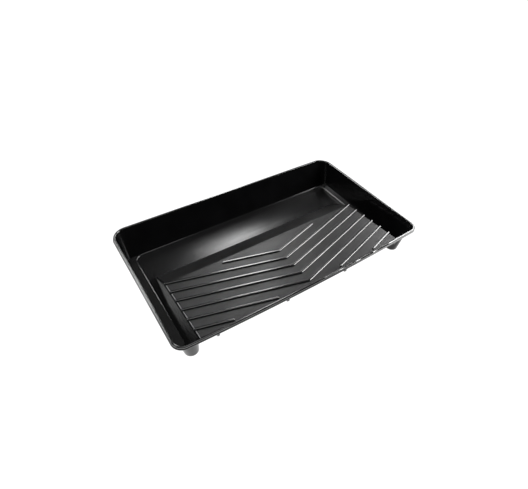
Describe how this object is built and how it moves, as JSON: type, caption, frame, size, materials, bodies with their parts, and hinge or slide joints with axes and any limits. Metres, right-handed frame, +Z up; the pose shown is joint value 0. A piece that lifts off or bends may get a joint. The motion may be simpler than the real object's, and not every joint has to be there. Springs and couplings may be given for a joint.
{
  "type": "paint roller tray",
  "caption": "Wide black plastic paint roller tray with a deep well, a raised ramp with chevron ribs, side gutters, a rolled rim and two front feet.",
  "frame": {"origin": "middle of the tray's footprint, on the surface it stands on", "axes": "+X along the tray's long side, +Y towards the paint well at the back, +Z up"},
  "size_m": [0.53, 0.307, 0.06],
  "materials": {
    "tray_plastic": "semi-gloss black moulded plastic",
    "ramp_plastic": "black moulded plastic with a fine rough grain"
  },
  "bodies": {
    "root": {"curb_corner_left": "tray_plastic", "curb_corner_right": "tray_plastic", "curb_left": "tray_plastic", "curb_right": "tray_plastic", "foot_left": "tray_plastic", "foot_right": "tray_plastic", "front_gussets": "tray_plastic", "gutter_floor_left": "tray_plastic", "gutter_floor_right": "tray_plastic", "ramp_deck": "ramp_plastic", "ramp_side_left": "tray_plastic", "ramp_side_right": "tray_plastic", "ramp_slope": "ramp_plastic", "rib_0_left": "ramp_plastic", "rib_0_right": "ramp_plastic", "rib_1_left": "ramp_plastic", "rib_1_right": "ramp_plastic", "rib_2_left": "ramp_plastic", "rib_2_right": "ramp_plastic", "rib_3_left": "ramp_plastic", "rib_3_right": "ramp_plastic", "rib_4_left": "ramp_plastic", "rib_4_right": "ramp_plastic", "rib_5_left": "ramp_plastic", "rib_5_right": "ramp_plastic", "rib_6_left": "ramp_plastic", "rib_6_right": "ramp_plastic", "rim_back": "tray_plastic", "rim_corner_back_left": "tray_plastic", "rim_corner_back_right": "tray_plastic", "rim_corner_front_left": "tray_plastic", "rim_corner_front_right": "tray_plastic", "rim_front": "tray_plastic", "rim_left": "tray_plastic", "rim_right": "tray_plastic", "step_back": "tray_plastic", "step_corner_left": "tray_plastic", "step_corner_right": "tray_plastic", "step_left": "tray_plastic", "step_right": "tray_plastic", "wall_back": "tray_plastic", "wall_corner_back_left": "tray_plastic", "wall_corner_back_right": "tray_plastic", "wall_corner_front_left": "tray_plastic", "wall_corner_front_right": "tray_plastic", "wall_front": "tray_plastic", "wall_left": "tray_plastic", "wall_right": "tray_plastic", "well_floor": "tray_plastic"}
  },
  "joints": []
}
